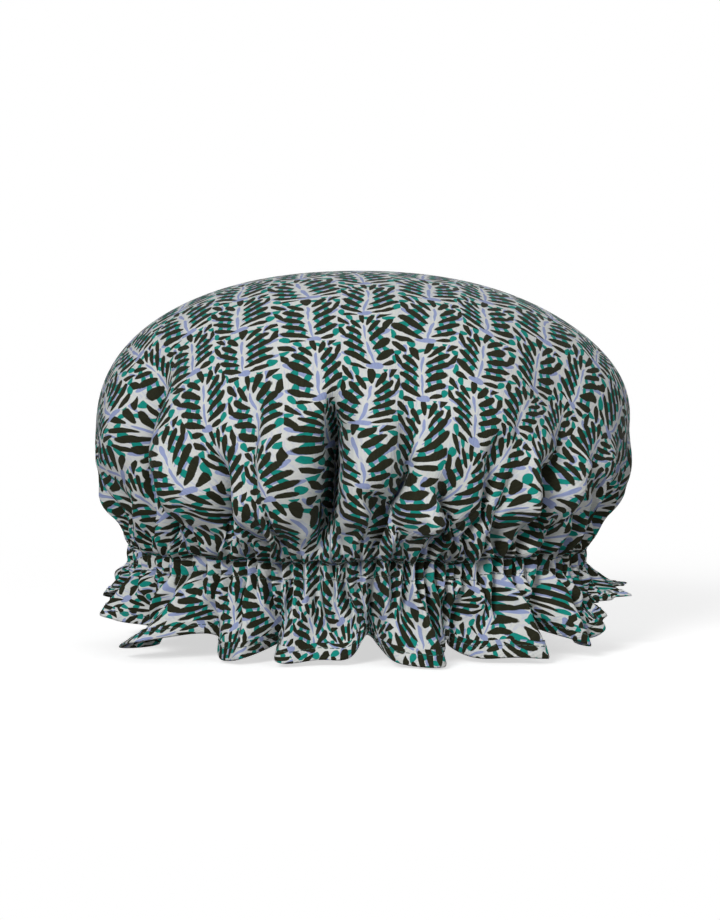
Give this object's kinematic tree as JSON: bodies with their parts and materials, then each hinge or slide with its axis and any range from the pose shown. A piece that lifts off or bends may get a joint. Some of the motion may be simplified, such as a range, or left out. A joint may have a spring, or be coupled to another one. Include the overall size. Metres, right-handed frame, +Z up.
{
  "type": "shower cap",
  "caption": "Puffed cloth shower cap: a printed crown gathered by an elastic in a sewn casing, over a waterproof lining, with a bound ruffle below.",
  "frame": {"origin": "on the surface the cap stands on, under the middle of its outline", "axes": "+X to the right across the width, -Y to the front, +Z up through the crown"},
  "size_m": [0.2602, 0.1954, 0.1806],
  "materials": {
    "printed_cloth": "plain woven cloth with a printed pattern",
    "lining_film": "satin waterproof film",
    "elastic": "braided elastic",
    "white_thread": "spun sewing thread",
    "green_thread": "spun sewing thread"
  },
  "bodies": {
    "root": {"outer_cover": "printed_cloth", "waterproof_lining": "lining_film", "elastic_band": "elastic", "elastic_join_stitch": "white_thread", "hem_binding": "printed_cloth", "upper_casing_needle_thread": "green_thread", "upper_casing_bobbin_thread": "green_thread", "lower_casing_needle_thread": "green_thread", "lower_casing_bobbin_thread": "green_thread", "hem_needle_thread": "green_thread", "hem_bobbin_thread": "green_thread"}
  },
  "joints": []
}
